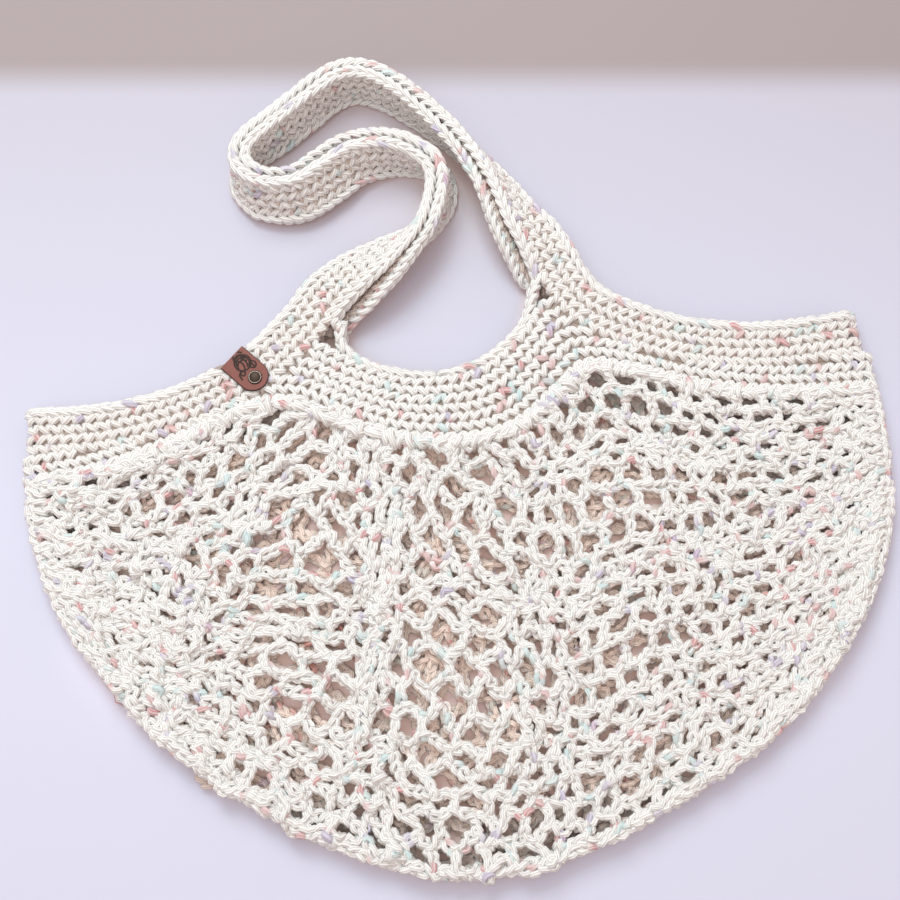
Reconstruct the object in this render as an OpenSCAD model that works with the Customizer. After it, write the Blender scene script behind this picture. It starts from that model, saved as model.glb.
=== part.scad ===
// Crocheted mesh produce bag, lying flat.
// +X is to the right, +Y runs from the bag's bottom towards its handles, +Z is up.
// The origin is on the resting face, in the middle of the band under the hand hole.

/* [Crochet] */
// Thickness of one crocheted layer
layer_t = 5; // [4:0.5:6]
// Clear height of the pocket between the two layers
pocket_h = 6; // [5.5:0.5:8]
// Width of the slip-stitch rim along every cut edge of the band
rim_w = 5; // [4:0.5:6]
// Width of the puffy round that gathers the net under the band
gather_w = 6; // [5:0.5:7]
// Width of the fold that joins the layers round the outline
fold_w = 7; // [6:1:9]

/* [Net] */
// Diamond holes across the net
net_columns = 20; // [12:1:22]
// Rows of diamond holes
net_rows = 11; // [8:1:12]
// Share of the pitch that a hole takes
hole_share = 0.62; // [0.4:0.02:0.7]

/* [Handles] */
// Full width of a strap, with its two edgings
strap_w = 26; // [22:1:28]
// Thickness of a strap
strap_t = 5; // [4:0.5:5]
// Width of each edging
edging_w = 4; // [3:0.5:5]
// Slack between a strap and each of its edgings
seam = 0.25; // [0.2:0.05:0.4]
// Gap left between a strap and the band at the root
root_gap = 0.4; // [0.3:0.1:1]
// Slack between the two straps where they lie side by side
strap_gap = 1; // [0.8:0.1:1.4]

/* [Leather tag] */
// Width of the tag along the rim
tag_w = 17.5; // [14:0.5:20]
// Length of the folded tag, from its fold to its round end
tag_len = 25.5; // [23:0.5:28]
// Thickness of the leather
leather_t = 1.8; // [1.4:0.1:2]
// Distance from the tag's fold to the rivet
rivet_reach = 18.5; // [17:0.5:19]
// Diameter of the rivet's domed cap
cap_d = 8; // [7:0.5:9]
// Radius of the rivet's post
post_r = 1.4; // [1.2:0.1:1.6]

/* [Hidden] */

COTTON = [0.96, 0.95, 0.92];
ROUND_COTTON = [0.93, 0.91, 0.87];
LEATHER = [0.62, 0.40, 0.34];
BRONZE = [0.30, 0.25, 0.23];
STEPS = 4;                       // drawn points between two outline points
front_z = layer_t + pocket_h;    // underside of the front layer
top_z = front_z + layer_t;       // top of the front layer

// Outline from the mouth's left corner, round the bottom, to the right corner.
OUTLINE = [
    [-230, -2], [-231, -22], [-231, -43], [-226, -72], [-211, -110], [-187, -142],
    [-153, -178], [-115, -204], [-78, -224], [-36, -240], [0, -247], [36, -244],
    [78, -231], [120, -209], [164, -181], [198, -147], [223, -110], [239, -66],
    [241, -27], [237, 12], [232, 32], [224, 54]];
LEFT_NET = 2;        // outline points where the net starts, turns and ends
LEFT_TURN = 5;
RIGHT_TURN = 15;
RIGHT_NET = 19;
// Border between band and net, from left to right.
BORDER = [
    [-231, -43], [-191, -35], [-148, -18], [-116, -1], [-88, 3], [-60, -8], [-27, -17],
    [11, -18], [38, -10], [61, 10], [78, 24], [105, 21], [138, 13], [182, 9], [237, 12]];
// The line on which both handles bend up from the bag, through the middle of each root.
ROOT_LEFT = [-80, 50];
ROOT_RIGHT = [63, 76];
bend_dir = unit(ROOT_RIGHT - ROOT_LEFT);
// Middle line of the two straps from the left root to the right one: [x, y, roll in degrees].
// Roll 0 lies flat, and 90 stands on the outer edging.
HANDLE = [
    [-80, 50, 0], [-69, 65, 8], [-53, 77, 26], [-37, 88, 46], [-18, 104, 75], [-7, 123, 98],
    [-6, 138, 100], [-14, 149, 95], [-34, 154, 76], [-55, 150, 62], [-70, 139, 55],
    [-87, 128, 56], [-107, 128, 64], [-119, 138, 78], [-120, 150, 92], [-112, 160, 98],
    [-99, 170, 102], [-81, 186, 102], [-67, 197, 100], [-53, 200, 98], [-38, 195, 96],
    [-20, 183, 90], [-2, 167, 82], [11, 153, 74], [24, 136, 62], [38, 113, 40],
    [49, 99, 20], [57, 87, 6], [63, 76, 0]];
// Outer and inner ends of the two roots, where the rims stop.
LEFT_SKEW = 46;      // angle between the bend line and a square cut across each strap
RIGHT_SKEW = 16;
left_half = strap_w / 2 / cos(LEFT_SKEW);
right_half = strap_w / 2 / cos(RIGHT_SKEW);
left_out = ROOT_LEFT - left_half * bend_dir;
left_in = ROOT_LEFT + left_half * bend_dir;
right_in = ROOT_RIGHT - right_half * bend_dir;
right_out = ROOT_RIGHT + right_half * bend_dir;
MOUTH_LEFT = [OUTLINE[0], [-193, 0], [-160, 8], [-128, 23], left_out];
SCOOP = [left_in, [-62, 37], [-49, 25], [-28, 19], [-6, 18], [17, 25], [33, 37], [44, 51], right_in];
MOUTH_RIGHT = [right_out, [86, 68], [112, 57], [140, 50], [179, 48], OUTLINE[21]];
TAG_AT = [-121.7, 29.2];         // middle of the tag's fold
TAG_TURN = -41;

function unit(v) = v / norm(v);
function blend(t) = t <= 0 ? 0 : t >= 1 ? 1 : t * t * (3 - 2 * t);
// A smooth curve through the points p, with n steps between two points.
function through(a, b, c, d, t) =
    0.5 * (2 * b + (c - a) * t + (2 * a - 5 * b + 4 * c - d) * t * t + (3 * b - a - 3 * c + d) * t * t * t);
function smooth(p, n) = concat(
    [for (i = [0:len(p) - 2], k = [0:n - 1])
        through(p[max(i - 1, 0)], p[i], p[i + 1], p[min(i + 2, len(p) - 1)], k / n)],
    [p[len(p) - 1]]);
function along(c, i) = unit(c[min(i + 1, len(c) - 1)] - c[max(i - 1, 0)]);
function beside(c, d) = [for (i = [0:len(c) - 1]) let (t = along(c, i)) c[i] + d * [-t[1], t[0]]];
function ends(c, first, last) = [for (i = [0:len(c) - 1]) i == 0 ? first : i == len(c) - 1 ? last : c[i]];
function part_of(c, a, b) = [for (i = [a * STEPS:b * STEPS]) c[i]];
function back_to_front(c) = [for (i = [len(c) - 1:-1:0]) c[i]];

outline = smooth(OUTLINE, STEPS);
outline_in = beside(outline, fold_w);
border = smooth(BORDER, STEPS);
gather_left = OUTLINE[LEFT_NET] + [0, gather_w];
gather_right = OUTLINE[RIGHT_NET] + [-1.5, gather_w];
gather_top = ends(beside(border, gather_w), gather_left, gather_right);
mouth_left = smooth(MOUTH_LEFT, STEPS);
mouth_left_in = ends(beside(mouth_left, -rim_w), OUTLINE[0] - [0, rim_w], left_out + 1.75 * rim_w * bend_dir);
scoop = smooth(SCOOP, STEPS);
scoop_in = ends(beside(scoop, -rim_w), left_in - rim_w * bend_dir, right_in + rim_w * bend_dir);
mouth_right = smooth(MOUTH_RIGHT, STEPS);
mouth_right_in = ends(beside(mouth_right, -rim_w), right_out - 1.2 * rim_w * bend_dir, OUTLINE[21] + [1.7, -rim_w]);

// A curve as two lookup tables, so that a point can be taken at any share of its length.
function run(c) = [for (i = 0, s = 0; i < len(c); s = s + norm(c[min(i + 1, len(c) - 1)] - c[i]), i = i + 1) s];
function table(c) = let (s = run(c), total = s[len(s) - 1])
    [for (axis = [0, 1]) [for (i = [0:len(c) - 1]) [s[i] / total, c[i][axis]]]];
function at(tb, f) = [lookup(f, tb[0]), lookup(f, tb[1])];
net_top = table(border);
net_left = table(part_of(outline, LEFT_NET, LEFT_TURN));
net_bottom = table(part_of(outline, LEFT_TURN, RIGHT_TURN));
net_right = table(back_to_front(part_of(outline, RIGHT_TURN, RIGHT_NET)));
// The place in the net at share u of the way across and share v of the way down.
function in_net(u, v) =
    (1 - v) * at(net_top, u) + v * at(net_bottom, u) + (1 - u) * at(net_left, v) + u * at(net_right, v)
    - (1 - u) * (1 - v) * at(net_top, 0) - u * (1 - v) * at(net_top, 1)
    - (1 - u) * v * at(net_bottom, 0) - u * v * at(net_bottom, 1);
u_pitch = 0.95 / net_columns;
v_pitch = 0.92 / net_rows;
// One diamond hole, which spans two rows as the loops of the net do.
function diamond(u, v) = [for (a = [0:90:270])
    in_net(u + 0.5 * u_pitch * hole_share * cos(a), v + v_pitch * hole_share * sin(a))];
diamonds = [for (r = [1:net_rows - 1], c = [0:net_columns - 1 - r % 2])
    diamond(0.025 + u_pitch * (c + 0.5 + 0.5 * (r % 2)), 0.04 + v_pitch * r)];
net_outline = concat(part_of(outline, LEFT_NET, RIGHT_NET), back_to_front(part_of(border, 0.25, len(BORDER) - 1.25)));

module slab(points, z, t) translate([0, 0, z]) linear_extrude(t) polygon(points);
module strip(a, b, z, t) slab(concat(a, back_to_front(b)), z, t);

module net(z) {
    n = len(net_outline);
    holes = [for (i = [0:len(diamonds) - 1]) [for (k = [0:3]) n + 4 * i + k]];
    corners = concat(net_outline, [for (d = diamonds) for (p = d) p]);
    color(COTTON) translate([0, 0, z]) linear_extrude(layer_t)
        polygon(corners, paths = concat([[for (i = [0:n - 1]) i]], holes));
}
module back_net() net(0);
module front_net() net(front_z);

module fold(a, b) color(COTTON) strip(part_of(outline, a, b), part_of(outline_in, a, b), layer_t, pocket_h);
module left_fold() fold(0, LEFT_TURN);
module bottom_fold() fold(LEFT_TURN, RIGHT_TURN);
module right_fold() fold(RIGHT_TURN, 21);

module band(z) {
    left_end = [OUTLINE[1]];
    right_end = [OUTLINE[20]];
    color(COTTON) slab(concat(mouth_left_in, scoop_in, mouth_right_in, right_end,
        back_to_front(gather_top), left_end), z, layer_t);
}
module back_band() band(0);
module front_band() color(COTTON) difference() {
    band(front_z);
    rivet_hole();
}

module gather_round(z) color(ROUND_COTTON) strip(border, gather_top, z, layer_t);
module back_gather_round() gather_round(0);
module front_gather_round() gather_round(front_z);

module rim(a, b, z) color(ROUND_COTTON) strip(a, b, z, layer_t);
module back_left_rim() rim(mouth_left, mouth_left_in, 0);
module back_scoop_rim() rim(scoop, scoop_in, 0);
module back_right_rim() rim(mouth_right, mouth_right_in, 0);
module front_left_rim() difference() {
    rim(mouth_left, mouth_left_in, front_z);
    tag_bite();
}
module front_scoop_rim() rim(scoop, scoop_in, front_z);
module front_right_rim() rim(mouth_right, mouth_right_in, front_z);

// The tag's own frame: local X runs from the fold to the round end.
module on_tag() translate([TAG_AT[0], TAG_AT[1], 0]) rotate([0, 0, TAG_TURN]) children();
// The folded leather presses into the soft edge of the mouth.
module tag_bite() on_tag() translate([-4, -tag_w / 2 - 0.1, -1]) cube([leather_t + 4.05, tag_w + 0.2, 40]);
module rivet_hole() on_tag() translate([rivet_reach, 0, 0]) cylinder(r = post_r + 0.05, h = 40, $fn = 48);
module leather_tag() color(LEATHER) difference() {
    on_tag() intersection() {
        translate([0, tag_w / 2, 0]) rotate([90, 0, 0]) linear_extrude(tag_w) difference() {
            tag_side();
            translate([leather_t, front_z]) square([tag_len, layer_t]);
        }
        union() {
            translate([-1, -tag_w / 2, 0]) cube([tag_len - tag_w / 2 + 1, tag_w, 40]);
            translate([tag_len - tag_w / 2, 0, 0]) cylinder(d = tag_w, h = 40, $fn = 96);
        }
    }
    rivet_hole();
}
// Side view of the folded tag before its inside is taken out, with a rounded fold.
module tag_side() {
    low = front_z - leather_t;
    tall = layer_t + 2 * leather_t;
    r = leather_t;
    translate([r, low]) square([tag_len - r, tall]);
    translate([0, low + r]) square([r, tall - 2 * r]);
    for (z = [low + r, low + tall - r]) translate([r, z]) circle(r, $fn = 48);
}
module on_rivet(z) on_tag() translate([rivet_reach, 0, z]) children();
// Domed cap with a blind socket for the post.
module rivet_cap() {
    rim_h = 0.6;
    dome_h = 1.5;
    color(BRONZE) on_rivet(top_z + leather_t) difference() {
        union() {
            cylinder(d = cap_d, h = rim_h, $fn = 96);
            translate([0, 0, rim_h]) dome(cap_d / 2 - 0.5, dome_h - rim_h);
        }
        translate([0, 0, -1]) cylinder(r = post_r, h = 1.9, $fn = 48);
    }
}
module dome(r, h) {
    ball = (r * r + h * h) / (2 * h);
    rotate_extrude($fn = 96) intersection() {
        translate([0, h - ball]) circle(ball, $fn = 192);
        square([r, h]);
    }
}
// Post with the flat back cap inside the bag.
module rivet_post() {
    foot_t = 1;
    foot_z = front_z - leather_t - foot_t;
    color(BRONZE) on_rivet(foot_z) {
        cylinder(d = cap_d - 1, h = foot_t, $fn = 96);
        cylinder(r = post_r, h = top_z + leather_t + 0.9 - foot_z, $fn = 48);
    }
}

// Stations along the handles: [middle, tangent, roll, share of the way].
HANDLE_STEPS = 2;
spine = smooth(HANDLE, HANDLE_STEPS);
spine_xy = [for (p = spine) [p[0], p[1]]];
spine_run = run(spine_xy);
SKEW_RUN = 40;       // the cut turns square within this distance of a root
function skew_at(i) = let (s = spine_run[i], rest = spine_run[len(spine_run) - 1] - s)
    LEFT_SKEW * (1 - blend(s / SKEW_RUN)) - RIGHT_SKEW * (1 - blend(rest / SKEW_RUN));
function square_to(t, turn) = [t[1] * cos(turn) - t[0] * sin(turn), -t[0] * cos(turn) - t[1] * sin(turn)];
function across_at(i) = i == 0 ? bend_dir : i == len(spine) - 1 ? -bend_dir
    : square_to(along(spine_xy, i), skew_at(i));
function gap_at(roll) = strap_gap + (pocket_h - strap_gap) * pow(cos(roll), 2);
// How far the back strap shows past the front one where both lie flat, away from the roots.
PEEK = 6;
function peek_at(i, roll) = let (s = spine_run[i], rest = spine_run[len(spine_run) - 1] - s)
    PEEK * pow(cos(roll), 2) * blend(min(s, rest) / 14);
// A point of station i: u across from the middle towards the inner edge, v up through the stack.
function station_point(i, u, v) = let (
    roll = spine[i][2],
    skew = skew_at(i),
    a = across_at(i),
    flat = square_to(along(spine_xy, i), 0),
    lift = strap_w / 2 * abs(sin(roll)) + (strap_t + gap_at(roll) / 2) * abs(cos(roll)),
    xy = spine_xy[i] + u * cos(roll) / cos(skew) * a - v * sin(roll) * flat)
    [xy[0], xy[1], lift + u * sin(roll) + v * cos(roll)];
CHAMFER = 0.9;
// Ring of eight points round one strip of a strap, side = 1 for the front strap and -1 for the back.
function ring(i, side, u0, u1) = let (
    roll = spine[i][2],
    shift = side < 0 ? peek_at(i, roll) : 0,
    v0 = side * gap_at(roll) / 2,
    v1 = side * (gap_at(roll) / 2 + strap_t),
    c = CHAMFER,
    w = side * c)
    [for (p = [[u0, v0 + w], [u0 + c, v0], [u1 - c, v0], [u1, v0 + w],
               [u1, v1 - w], [u1 - c, v1], [u0 + c, v1], [u0, v1 - w]])
        station_point(i, p[0] + shift, p[1])];
module swept(side, u0, u1) {
    n = len(spine);
    points = [for (i = [0:n - 1]) each ring(i, side, u0, u1)];
    walls = [for (i = [0:n - 2], k = [0:7]) let (a = 8 * i + k, b = 8 * i + (k + 1) % 8)
        each [[a, b, a + 8], [b, b + 8, a + 8]]];
    caps = concat([for (k = [1:6]) [0, k + 1, k]], [for (k = [1:6]) [8 * n - 8, 8 * n - 8 + k, 8 * n - 7 + k]]);
    faces = concat(walls, caps);
    difference() {
        polyhedron(points, side > 0 ? faces : [for (f = faces) [f[0], f[2], f[1]]]);
        behind_bend();
    }
}
// Everything on the bag's side of the bend line, with the gap that is left at the roots.
module behind_bend() translate([ROOT_LEFT[0], ROOT_LEFT[1], -1])
    rotate([0, 0, atan2(bend_dir[1], bend_dir[0])]) translate([-60, root_gap - 40, 0]) cube([260, 40, 30]);
inner_u = strap_w / 2 - edging_w;
module front_strap() color(COTTON) swept(1, -inner_u, inner_u);
module front_strap_outer_edging() color(ROUND_COTTON) swept(1, -strap_w / 2, -inner_u - seam);
module front_strap_inner_edging() color(ROUND_COTTON) swept(1, inner_u + seam, strap_w / 2);
module back_strap() color(COTTON) swept(-1, -inner_u, inner_u);
module back_strap_outer_edging() color(ROUND_COTTON) swept(-1, -strap_w / 2, -inner_u - seam);
module back_strap_inner_edging() color(ROUND_COTTON) swept(-1, inner_u + seam, strap_w / 2);

back_net();
front_net();
left_fold();
right_fold();
bottom_fold();
back_band();
front_band();
back_gather_round();
front_gather_round();
back_left_rim();
back_right_rim();
back_scoop_rim();
front_left_rim();
front_right_rim();
front_scoop_rim();
leather_tag();
rivet_cap();
rivet_post();
front_strap();
front_strap_outer_edging();
front_strap_inner_edging();
back_strap();
back_strap_outer_edging();
back_strap_inner_edging();
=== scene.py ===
"""Crocheted mesh produce bag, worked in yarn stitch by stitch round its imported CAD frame.

Lengths are millimetres, and MM turns them into metres where a mesh is made. The tabletop, lamps,
camera and texture sizes are in metres.
+X is right across the mouth, +Y runs from the bag's bottom to its handles, +Z is up.
"""

import math

import bpy
import numpy as np
from mathutils import Matrix, Vector


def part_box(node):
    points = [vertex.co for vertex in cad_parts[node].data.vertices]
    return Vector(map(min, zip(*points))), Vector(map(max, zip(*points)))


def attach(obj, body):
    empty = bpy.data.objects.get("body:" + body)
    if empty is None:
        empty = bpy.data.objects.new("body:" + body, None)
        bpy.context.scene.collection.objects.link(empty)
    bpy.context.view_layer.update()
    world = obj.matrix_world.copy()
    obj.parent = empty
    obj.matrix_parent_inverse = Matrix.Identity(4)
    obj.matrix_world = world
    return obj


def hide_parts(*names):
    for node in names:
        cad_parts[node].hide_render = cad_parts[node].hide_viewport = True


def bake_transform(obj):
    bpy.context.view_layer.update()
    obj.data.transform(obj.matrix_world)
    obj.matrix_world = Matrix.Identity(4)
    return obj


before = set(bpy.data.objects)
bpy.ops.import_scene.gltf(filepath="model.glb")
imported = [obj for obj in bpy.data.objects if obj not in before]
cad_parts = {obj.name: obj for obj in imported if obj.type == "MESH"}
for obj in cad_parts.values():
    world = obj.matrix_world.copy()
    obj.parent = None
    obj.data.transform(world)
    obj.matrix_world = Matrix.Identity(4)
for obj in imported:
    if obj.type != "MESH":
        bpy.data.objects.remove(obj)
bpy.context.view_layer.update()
MM = 0.001
scene = bpy.context.scene

# ---- sizes, in mm
BACK_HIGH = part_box("back_band")[1][2] / MM
FRONT_LOW, FRONT_HIGH = (corner[2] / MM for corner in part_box("front_band"))
LAYER_T = FRONT_HIGH - FRONT_LOW
POCKET_H = FRONT_LOW - BACK_HIGH
MID_Z = (BACK_HIGH + FRONT_LOW) / 2
FOLD_R = (LAYER_T + POCKET_H) / 2  # the layers' middles lie this far from the mid plane
STRAP_W = 26.0
STRAP_T = 5.0
STRAP_GAP = 1.0
PEEK = 6.0  # how far the back strap shows past the front one at a root
SKIN_R = 1.95  # yarn radius in the solid fabric
BRAID_R = 1.75  # yarn radius in the slip-stitched edges
NET_R = 1.85  # yarn radius in the net, where it is pulled tighter
STITCH_W, ROW_H, BAND_ROW_H = 6.6, 5.4, 5.5  # one single crochet stitch
CHAIN_P = 5.2  # one chain stitch of the net
POST_P = 4.8  # one chain stitch of a post between two rows
BRAID_P = 6.2  # one chain stitch of a slip-stitched edge
GATHER_P = 7.6  # one chain stitch of the round that gathers the net
LUMP_P, LUMP_WRAPS, LUMP_STEPS = 9.0, 2, 8  # a lump's length, its windings, points of a winding
NET_COLUMNS, NET_ROWS = 36, 21
NET_SAG = 3.8  # the front net sinks this far to lie on the back one
STRAP_ROWS, BAND_ROWS = 4, 7
SPAN = 8  # points of a smooth curve from one guide point to the next

# The guide points of the outline, the net's border and the handles are the CAD model's.
OUTLINE = [
    (-230, -2), (-231, -22), (-231, -43), (-226, -72), (-211, -110), (-187, -142),
    (-153, -178), (-115, -204), (-78, -224), (-36, -240), (0, -247), (36, -244),
    (78, -231), (120, -209), (164, -181), (198, -147), (223, -110), (239, -66),
    (241, -27), (237, 12), (232, 32), (224, 54)]
# Outline points where the net starts on the left, turns into its bottom, turns up again and ends.
LEFT_NET, LEFT_TURN, RIGHT_TURN, RIGHT_NET = 2, 5, 16, 19
BORDER = [
    (-231, -43), (-191, -35), (-148, -18), (-116, -1), (-88, 3), (-60, -8), (-27, -17),
    (11, -18), (38, -10), (61, 10), (78, 24), (105, 21), (138, 13), (182, 9), (237, 12)]
# Where the band's rows would end if no strip or hand hole cut them.
BAND_TOP = [
    (-233, -6), (-197, 2), (-160, 17), (-127, 33), (-82, 41), (-54, 29), (-24, 18.5),
    (7, 21), (24, 29.5), (42, 49), (57, 66), (106, 58), (139, 50), (182, 46), (236, 49)]
# The CAD model's scoop, with its two ends carried on to the strap.
SCOOP = [
    (-61.6, 53.3), (-62, 37), (-49, 25), (-28, 19), (-6, 18), (17, 25), (33, 37), (44, 51),
    (49.7, 73.6)]
# Middle line of the handles: x, y and roll, where 0 lies flat and 90 stands on the outer edge.
HANDLE = [
    (-80, 50, 0), (-69, 65, 8), (-53, 77, 26), (-37, 88, 46), (-18, 104, 75), (-7, 123, 98),
    (-6, 138, 100), (-14, 149, 95), (-34, 154, 76), (-55, 150, 62), (-70, 139, 55),
    (-87, 128, 56), (-107, 128, 64), (-119, 138, 78), (-120, 150, 92), (-112, 160, 98),
    (-99, 170, 102), (-81, 186, 102), (-67, 197, 100), (-53, 200, 98), (-38, 195, 96),
    (-20, 183, 90), (-2, 167, 82), (11, 153, 74), (24, 136, 62), (38, 113, 40),
    (49, 99, 20), (57, 87, 6), (63, 76, 0)]
# The strap's rows carry on along both sides of the mouth, so its middle line does too.
LEAD_IN = [(-226, -15, 0), (-193, -13, 0), (-154, -4, 0), (-120, 12, 0), (-97, 31, 0)]
LEAD_OUT = [(77, 59, 0), (106, 45, 0), (138, 37, 0), (179, 35, 0), (222, 41, 0)]
# The handle's two roots, as points of the smoothed middle line.
FIRST_ROOT = len(LEAD_IN) * SPAN
LAST_ROOT = (len(LEAD_IN) + len(HANDLE) - 1) * SPAN

# The tag's fold on the mouth's edge, its turn about Z, and its sizes.
TAG_AT, TAG_TURN = np.array([-121.7, 29.2]), math.radians(-41)
TAG_W, TAG_LEN, LEATHER_T, RIVET_REACH = 17.5, 25.5, 1.8, 18.5
TAG_TIP = 6  # length of the tag's round end, where its outline points crowd together
TAG_TOP = FRONT_HIGH + LEATHER_T


# ---- curves
def unit(v):
    return v / np.maximum(np.linalg.norm(v, axis=-1, keepdims=True), 1e-9)


def smooth(points, steps=SPAN):
    """A smooth curve through the points, as the CAD model draws it."""
    p = np.asarray(points, float)
    q = np.vstack([p[:1], p, p[-1:]])
    t = np.arange(steps)[:, None] / steps
    runs = []
    for i in range(len(p) - 1):
        a, b, c, d = q[i:i + 4]
        runs.append(0.5 * (2 * b + (c - a) * t + (2 * a - 5 * b + 4 * c - d) * t**2
                           + (3 * b - a - 3 * c + d) * t**3))
    return np.vstack(runs + [p[-1:]])


def blend(t):
    t = np.clip(t, 0, 1)
    return t * t * (3 - 2 * t)


def lengths_along(line):
    """Distance along a line at each of its points."""
    return np.concatenate([[0], np.cumsum(np.linalg.norm(np.diff(line, axis=0), axis=1))])


def left_of(line):
    """Unit vectors to the left of a flat line of points."""
    t = unit(np.gradient(line, axis=0))
    return np.stack([-t[:, 1], t[:, 0]], 1)


def unbroken_runs(keep):
    """Start and end of each unbroken run of more than 3 True values."""
    edges = np.flatnonzero(np.diff(np.concatenate([[0], keep.astype(int), [0]])))
    return [(a, b) for a, b in zip(edges[::2], edges[1::2]) if b - a > 3]


class Ribbon:
    """A line in space with the direction that its stitches face, read at any distance along it."""

    REACH = 0.6  # the line's direction is taken over this far to each side

    def __init__(self, points, facing):
        self.p = np.asarray(points, float)
        self.n = np.broadcast_to(np.asarray(facing, float), self.p.shape)
        self.s = lengths_along(self.p)
        self.length = self.s[-1]

    def read(self, table, s):
        return np.stack([np.interp(s, self.s, table[:, k]) for k in range(3)], -1)

    def at(self, s):
        """Place, direction along, direction across and facing at distances s."""
        along = unit(self.read(self.p, s + self.REACH) - self.read(self.p, s - self.REACH))
        facing = self.read(self.n, s)
        across = unit(np.cross(facing, along))
        return self.read(self.p, s), along, across, unit(np.cross(along, across))


def round_fold(points, facing, side, radius, ends=(True, True)):
    """Carries the wanted ends of a line and its facing round the side fold to the mid plane."""
    turn = np.radians([30, 60, 88])[:, None]
    for wanted in ends:
        if wanted:
            first = facing[0]
            out = unit((points[0] - points[1]) * [1, 1, 0])
            drop = [0, 0, side * radius] * (np.cos(turn) - 1)
            arc = points[0] + out * radius * np.sin(turn) + drop
            arc_facing = np.tile(first, (len(turn), 1))
            if abs(first[2]) > 0.5:
                tip = np.sign(first[2] * side)
                arc_facing = tip * (out * np.sin(turn) + [0, 0, side] * np.cos(turn))
            points = np.vstack([arc[::-1], points])
            facing = np.vstack([arc_facing[::-1], facing])
        points, facing = points[::-1], facing[::-1]
    return points, facing


def layer_ribbon(xy, z, side, ends=(True, True)):
    """A ribbon on the front (side 1) or back (side -1) layer, turned down round the side folds."""
    points = np.column_stack([xy, np.broadcast_to(z, len(xy))])
    facing = np.tile([0.0, 0.0, float(side)], (len(xy), 1))
    return Ribbon(*round_fold(points, facing, side, FOLD_R, ends))


# ---- stitches
# One chain stitch, in shares of its pitch: along, across, towards its face.
CHAIN = np.array([
    (0.00, 0.06, 0.14), (0.22, 0.19, 0.28), (0.50, 0.28, 0.30), (0.80, 0.28, 0.18),
    (1.04, 0.16, 0.00), (1.12, 0.00, -0.10), (1.04, -0.16, 0.00), (0.80, -0.28, 0.18),
    (0.50, -0.28, 0.30), (0.22, -0.19, 0.28), (0.00, -0.08, 0.05), (0.10, 0.00, -0.22),
    (0.50, 0.02, -0.34), (0.88, 0.05, -0.22)])
# One stitch of a slip-stitched edge, whose long loops nest in one another like a row of Vs.
BRAID = np.array([
    (0.00, 0.03, 0.20), (0.30, 0.14, 0.32), (0.65, 0.25, 0.30), (1.00, 0.33, 0.16),
    (1.25, 0.30, -0.06), (1.32, 0.12, -0.22), (1.32, -0.12, -0.22), (1.25, -0.30, -0.06),
    (1.00, -0.33, 0.16), (0.65, -0.25, 0.30), (0.30, -0.14, 0.32), (0.00, -0.03, 0.20),
    (0.10, 0.00, -0.20), (0.50, 0.02, -0.36), (0.85, 0.03, -0.30)])
# One single crochet stitch: along in shares of its width, across in shares of the row, out in mm.
SINGLE = np.array([
    (-0.44, 0.60, -1.2), (-0.38, 0.86, 0.0), (-0.26, 0.78, 1.0), (-0.15, 0.52, 1.1),
    (-0.07, 0.22, 0.2), (0.00, 0.30, -1.4), (-0.10, 0.14, -0.2), (0.04, 0.24, 1.2),
    (0.20, 0.42, 1.7), (0.37, 0.64, 1.4), (0.50, 0.82, 0.1), (0.52, 0.62, -1.4)])


def chain(ribbon, pitch, rng, roll, bulk=1.0, mess=0.02, stitch=CHAIN):
    """The yarn of a row of chain stitches along a ribbon.

    roll is how far the stitches turn about the row, in radians, bulk scales their width and height,
    and mess is how far their points stray, as a share of the pitch."""
    count = max(2, round(ribbon.length / pitch))
    step = ribbon.length / count
    x = (np.arange(count)[:, None] + stitch[:, 0]).ravel()
    which = np.arange(count + 2) - 0.5
    turn = np.interp(x, which, rng.normal(0, roll, count + 2))
    fat = bulk * (1 + np.interp(x, which, rng.normal(0, 3 * mess, count + 2)))
    shift = rng.normal(0, mess, (x.size, 3)) * pitch
    across = np.tile(stitch[:, 1], count) * pitch * fat
    out = np.tile(stitch[:, 2], count) * pitch * fat
    base, along, side, face = ribbon.at(x * step)
    y = across * np.cos(turn) - out * np.sin(turn)
    z = across * np.sin(turn) + out * np.cos(turn)
    return base + side * y[:, None] + face * z[:, None] + shift


def single(ribbon, rng, height=ROW_H, lift=0.0, flip=False):
    """The yarn of a row of single crochet along a ribbon, growing across it.

    A flipped row is worked the other way and starts half a stitch on."""
    start = STITCH_W / 2 if flip else 0
    run = ribbon.length - start
    count = max(2, round(run / STITCH_W))
    a = np.arange(count)[:, None] + 0.5 + SINGLE[:, 0]
    b = np.tile(SINGLE[:, 1], (count, 1))
    h = np.tile(SINGLE[:, 2], (count, 1))
    lean = rng.normal(0.12, 0.08, (count, 1))
    rise = rng.normal(0, 0.26, (count, 1))
    grow = 1 + rng.normal(0, 0.06, (count, 1))
    a = a + lean * (b - 0.5) + rng.normal(0, 0.02, a.shape)
    b = 0.5 + (b - 0.5) * grow + rng.normal(0, 0.02, a.shape)
    h = h + rise + rng.normal(0, 0.08, a.shape)
    a, b, h = a.ravel(), b.ravel(), h.ravel()
    if flip:
        a = count - a
    base, along, across, face = ribbon.at(start + a * (run / count))
    return base + across * ((b - 0.5) * height)[:, None] + face * (h + lift)[:, None]


# ---- yarn meshes
FLECK_EVERY = 120.0  # mean length of yarn between two dyed flecks
FLECK_LENGTHS = (5.0, 15.0)
FLECK_SHARES = (0.46, 0.32, 0.22)  # coral, aqua, lilac
PLY_TWIST = 17.0  # length of yarn in one turn of its plies
PLIES = 6
LEVEL_WINDOW = 29  # points of yarn over which its mean height is taken
WARM_BELOW, WARM_SPAN = 1.7, 2.6  # yarn this far below that height takes the full painted warm shade, and is cream WARM_SPAN above that


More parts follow.
